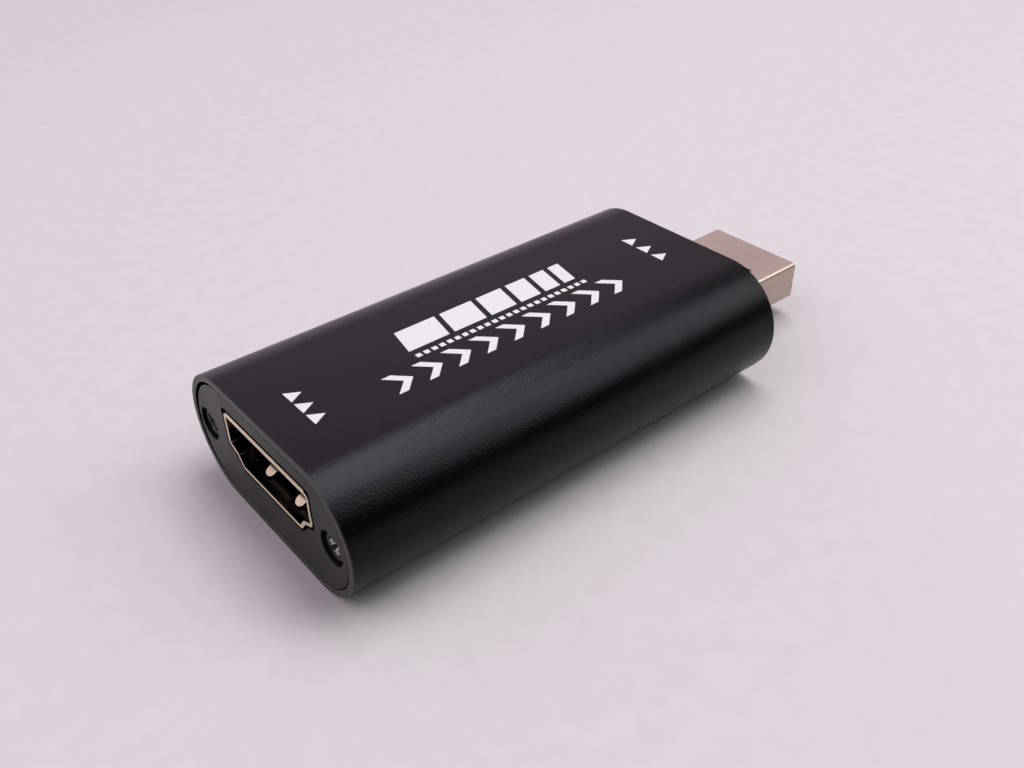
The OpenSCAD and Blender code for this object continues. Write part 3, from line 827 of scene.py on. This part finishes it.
# %% [markdown]
# ## Shell of the video socket
# The shell is folded from plated sheet. The bar of the outline loses its two ends and gets a wall,
# and a strip of the roof at the mouth is pushed up into the lip that bears on the plate.

# %% Folded shell with its lip
lip_t = 0.4
lip_w = 13.6
shell_top = socket_roof + socket_wall


def on_roof(face):
    """True for the faces on the outside of the roof."""
    return face.normal.z > ALONG and abs(middle(face).z - shell_top) < CLOSE


shell = socket_bar(0, 0, bend, socket_low.x, socket_high.x)
with editing(shell):
    pick("FACE", lambda f: abs(f.normal.x) > ALONG)
    bpy.ops.mesh.delete(type="FACE")
modify(shell, "SOLIDIFY", thickness=socket_wall, offset=1, use_even_offset=True)
with editing(shell):
    for place, normal in (
        ((socket_low.x + lip_t, 0, 0), (1, 0, 0)),
        ((0, socket_y - lip_w / 2, 0), (0, 1, 0)),
        ((0, socket_y + lip_w / 2, 0), (0, 1, 0)),
    ):
        pick("FACE", on_roof)
        bpy.ops.mesh.bisect(plane_co=place, plane_no=normal, threshold=CLOSE)
    pick("FACE", lambda f: on_roof(f) and middle(f).x < socket_low.x + lip_t
         and abs(middle(f).y - socket_y) < lip_w / 2)
    push(z=socket_lip)
print("lip", lip_w, "mm wide,", socket_lip, "mm high")

# %% [markdown]
# Four windows are cut for the latch springs, two in the floor and two in the roof, and four legs go
# down through the board. The cut edges at the mouth are duller than the drawn sheet, so they get
# their own finish.

# %% Windows and legs
leaf_gap = 0.25
leaf_low, leaf_high = span("lower_left_latch_spring")
leaf_w = leaf_high.y - leaf_low.y
leaf_pitch = 2 * ((leaf_low.y + leaf_high.y) / 2 - socket_y)
leaf_tip = leaf_low.x
leaf_back = leaf_high.x
leg_w = 1.2
leg_spots = (4.6, 9.6)
leg_half = socket_wall * 0.45  # thinner than the wall, so that no two faces lie in one plane
window_half = leaf_w / 2 + leaf_gap
root_gap = leaf_gap / 8
shell_edge = 0.05
cut_lean = 0.3

for side in (-1, 1):
    y = socket_y + side * leaf_pitch / 2
    for wall_z in (socket_floor - socket_wall / 2, socket_roof + socket_wall / 2):
        combine(shell, block(
            (leaf_tip - leaf_gap, y - window_half, wall_z - socket_wall),
            (leaf_back + root_gap, y + window_half, wall_z + socket_wall),
        ), "DIFFERENCE")
    y = socket_y + side * (socket_w + socket_wall) / 2
    for spot in leg_spots:
        x = socket_low.x + spot
        combine(shell, block(
            (x - leg_w / 2, y - leg_half, socket_low.z),
            (x + leg_w / 2, y + leg_half, socket_floor + ledge_z + bend),
        ), "UNION")
soften(shell, shell_edge)
# the plating of the shell is darkened as painted shade; the cut edges at the mouth keep a paler
# colour
hand_over(shell, "folded_socket_shell", "housing", socket_plating, "socket_plating", "socket_shell")
second_finish(
    shell, cut_edge,
    lambda at, normal: at.x < socket_low.x + lip_t and normal.x < -cut_lean,
)

# %% [markdown]
# ## Latch springs
# Two leaves in the floor and two in the roof grip the plug. A leaf is a strip that rises from its
# root to a rounded crest and dips again to a round tip. One strip is drawn edge by edge along that
# path and given its thickness, and copies of it go to the four windows, each on the body that moves
# it.

# %% Path of a leaf
leaf_t = 0.2
root_r = socket_wall / 2
crest_up = 0.5
crest_from_tip = 0.8
crest_bend = 0.6
crest_steps = 10


def leaf_path():
    """The middle line of a floor leaf in x and z, from its tip, with a round crest."""
    tip = Vector((leaf_tip, socket_floor - root_r + leaf_t / 2))
    crest = Vector((leaf_tip + crest_from_tip, socket_floor + crest_up - leaf_t / 2))
    root = Vector((leaf_back - root_r, socket_floor - root_r))
    rise = (crest - tip).normalized()
    fall = (root - crest).normalized()
    turn = rise.angle(fall)
    bend_start = crest - rise * crest_bend * math.tan(turn / 2)
    centre = bend_start + Vector((rise.y, -rise.x)) * crest_bend
    arc = [
        centre + Matrix.Rotation(-turn * k / crest_steps, 2) @ (bend_start - centre)
        for k in range(crest_steps + 1)
    ]
    return [tip, *arc, root]


print("leaf path of", len(leaf_path()), "points")

# %% One leaf
tip_round = leaf_w * 0.48
leaf_edge = 0.05
root_edge = 0.04
root_sides = 32

path = leaf_path()
leaf_y = socket_y - leaf_pitch / 2
strip = primitive(bpy.ops.mesh.primitive_plane_add, size=leaf_w, location=(0, leaf_y, 0))
with editing(strip):
    pick("VERT", lambda v: v.co.x > 0)
    bpy.ops.mesh.delete(type="VERT")
    bpy.ops.mesh.select_all(action="SELECT")
    bpy.ops.transform.translate(value=(path[0].x + leaf_w / 2, 0, path[0].y))
    for here, there in zip(path, path[1:]):
        push(x=there.x - here.x, z=there.y - here.y)
    pick("VERT", lambda v: abs(v.co.x - leaf_tip) < CLOSE)
    bpy.ops.mesh.bevel(offset=tip_round, segments=8, affect="VERTICES")
modify(strip, "SOLIDIFY", thickness=leaf_t, offset=0, use_even_offset=True)
soften(strip, leaf_edge)
root = primitive(
    bpy.ops.mesh.primitive_cylinder_add, vertices=root_sides, radius=root_r, depth=leaf_w,
    location=(path[-1].x, leaf_y, path[-1].y), rotation=(math.pi / 2, 0, 0),
)
soften(root, root_edge)
leaf = gather([strip, root])
print("leaf", leaf_w, "mm wide,", leaf_t, "mm thick")

# %% Four leaves
socket_mid = (socket_floor + socket_roof) / 2
for level in ("lower", "upper"):
    for word, move in (("left", leaf_pitch), ("right", 0)):
        spring = copy_of(leaf, (0, move, 0))
        if level == "upper":
            with editing(spring):
                bpy.ops.transform.resize(value=(1, 1, -1), center_override=(0, 0, socket_mid))
        hand_over(
            spring, f"{level}_{word}_leaf_spring", f"{level}_{word}_leaf", spring_bronze,
            "latch_leaf", f"{level}_{word}_latch_spring",
        )
bpy.data.objects.remove(leaf)

# %% [markdown]
# ## Shell of the data plug
# The plug is a flat box of folded sheet with round long edges, open at its tip. Two square latch
# holes go through its top and two through its underside, where a fine groove shows the butt of the
# fold. Two tabs hold it to the board.

# %% Plug shell
plug_wall = 0.3
tab_len = 2.6
tab_z = (3.2, 5.4)
latch_hole = 2.5
latch_pitch = 4.9
latch_set_back = 5.0
seam_w = 0.1
seam_depth = 0.12
fold_edge = 0.03
tab_half = plug_wall * 0.45  # thinner than the wall, as the legs of the socket are

plug_back = plug_low.x + tab_len
plug = plug_bar(0, plug_back, plug_high.x)
with editing(plug):
    pick("FACE", lambda f: abs(f.normal.x) > ALONG)
    bpy.ops.mesh.delete(type="FACE")
modify(plug, "SOLIDIFY", thickness=plug_wall, offset=-1, use_even_offset=True)
combine(plug, block(
    (plug_back - past, -seam_w / 2, plug_low.z - past),
    (plug_high.x + past, seam_w / 2, plug_low.z + seam_depth),
), "DIFFERENCE")
hole_end = plug_high.x - latch_set_back
for side in (-1, 1):
    y = side * latch_pitch / 2
    combine(plug, block(
        (hole_end - latch_hole, y - latch_hole / 2, plug_low.z - past),
        (hole_end, y + latch_hole / 2, plug_high.z + past),
    ), "DIFFERENCE")
    y = side * (plug_high.y - plug_wall / 2)
    combine(plug, block(
        (plug_low.x, y - tab_half, tab_z[0]), (plug_back + plug_wall, y + tab_half, tab_z[1]),
    ), "UNION")
soften(plug, fold_edge)
hand_over(plug, "folded_plug_shell", "housing", plug_plating, "plug_plating", "plug_shell")

# %% [markdown]
# ## Print
# White marks are printed on the top. They are plain shapes: arrowheads at each end show which way
# the picture travels, and the middle has a run of slanted bars, a fine scale and a row of chevrons.
# Each mark is a flat shape with the thickness of the ink, so that its edges stay crisp from close
# by.

# %% Shapes of the marks
sleeve_top = middle_z + sleeve_r


def flat_bar(x, y, w, h, slant=0.0):
    """A flat bar, measured from the input end, whose far side is moved along by a slant."""
    mid_x = sleeve_start + x + w / 2
    mid_y = y + h / 2
    mark = primitive(
        bpy.ops.mesh.primitive_plane_add, size=1, location=(mid_x, mid_y, sleeve_top)
    )
    with editing(mark):
        bpy.ops.transform.resize(value=(w, h, 1), center_override=(mid_x, mid_y, 0))
        pick("VERT", lambda v: v.co.y > mid_y)
        bpy.ops.transform.translate(value=(slant, 0, 0))
    return mark


def chevron(x, y, stroke, h):
    """An open arrowhead that points along the box, drawn as one bent bar."""
    mark = flat_bar(x, y, stroke, h / 2, h / 2)
    with editing(mark):
        pick("EDGE", lambda e: middle(e).y > y + h / 2 - CLOSE)
        push(x=-h / 2, y=h / 2)
    return mark


def arrowhead(x, y, radius):
    """A flat triangle that points along the box."""
    return primitive(
        bpy.ops.mesh.primitive_circle_add, vertices=3, radius=radius, fill_type="NGON",
        location=(sleeve_start + x, y, sleeve_top), rotation=(0, 0, -math.pi / 2),
    )


def row(mark, count, step):
    """Repeats a mark along a step."""
    modify(
        mark, "ARRAY", count=count, use_relative_offset=False,
        use_constant_offset=True, constant_offset_displace=(*step, 0),
    )
    return mark


# %% The marks
bar_x = 15.8
bar_gap = 0.62
bar_widths = (4.6, 3.8, 3.1, 2.5, 1.9, 1.4)
arrow_r = 0.95

marks = []
for width in bar_widths:
    marks.append(flat_bar(bar_x, y=0.2, w=width, h=3.5, slant=0.7))
    bar_x += width + bar_gap
marks.append(row(flat_bar(x=15.9, y=-1.1, w=0.55, h=0.55), count=24, step=(0.88, 0)))
marks.append(row(chevron(x=11.4, y=-4.7, stroke=1.0, h=2.9), count=9, step=(3.2, 0)))
marks.append(row(arrowhead(x=4.3, y=1.2, radius=arrow_r), count=3, step=(0, -2.0)))
marks.append(row(arrowhead(x=46.0, y=2.2, radius=arrow_r), count=3, step=(0, -2.2)))

top_print = gather(marks)
modify(top_print, "SOLIDIFY", thickness=ink_t, offset=1)
hand_over(top_print, "top_print", "housing", white_ink)

# %% [markdown]
# ## Pieces inside
# The socket and the plug each hold a black moulding with gold contacts, and the board carries the
# rest. Their shapes are right as they are, so they keep their meshes and get finishes.

# %% Finishes of the inner pieces
insulator = surface(
    "black_moulding", deep=(0.004, 0.004, 0.0045), pale=(0.008, 0.008, 0.009), rough=(0.4, 0.55),
    grain=5000, relief=0.004,
)
gold = surface(
    "gold_flash", deep=(0.68, 0.47, 0.17), pale=(0.82, 0.62, 0.29), rough=(0.2, 0.32),
    drawn=9000, relief=0.0005, Metallic=1.0,
)
epoxy = surface(
    "moulded_epoxy", deep=(0.010, 0.010, 0.011), pale=(0.018, 0.018, 0.019), rough=(0.5, 0.62),
    grain=8000, relief=0.003,
)
ferrite = surface(
    "pressed_ferrite", deep=(0.03, 0.027, 0.026), pale=(0.055, 0.05, 0.047), rough=(0.5, 0.65),
    grain=6000, relief=0.004,
)
lid_metal = surface(
    "crystal_lid", deep=(0.46, 0.46, 0.47), pale=(0.58, 0.58, 0.59), rough=(0.22, 0.34),
    drawn=8000, relief=0.0005, Metallic=1.0,
)
solder_mask = surface(
    "green_solder_mask", deep=(0.006, 0.062, 0.028), pale=(0.011, 0.1, 0.045), rough=(0.28, 0.4),
    grain=900, relief=0.004,
)
ceramic = surface(
    "tan_ceramic", deep=(0.30, 0.21, 0.115), pale=(0.41, 0.3, 0.175), rough=(0.42, 0.55),
    grain=7000, relief=0.002,
)
film = surface(
    "black_film", deep=(0.012, 0.012, 0.013), pale=(0.022, 0.022, 0.024), rough=(0.35, 0.5),
    grain=7000, relief=0.001,
)
print("finishes in all:", len(bpy.data.materials))

# %% Inner pieces
inner = {
    insulator: ["socket_insulator", "plug_insulator"],
    gold: ["socket_contacts", "plug_contacts"],
    epoxy: ["capture_chip", "memory_chip", "voltage_regulators", "surge_arrays"],
    ferrite: ["power_choke"],
    lid_metal: ["clock_crystal"],
    solder_mask: ["circuit_board"],
    ceramic: ["capacitors"],
    film: ["resistors"],
}
for material, nodes in inner.items():
    for node in nodes:
        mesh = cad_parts[node].data
        mesh.materials.clear()
        mesh.materials.append(material)
print("inner nodes finished:", sum(len(nodes) for nodes in inner.values()))
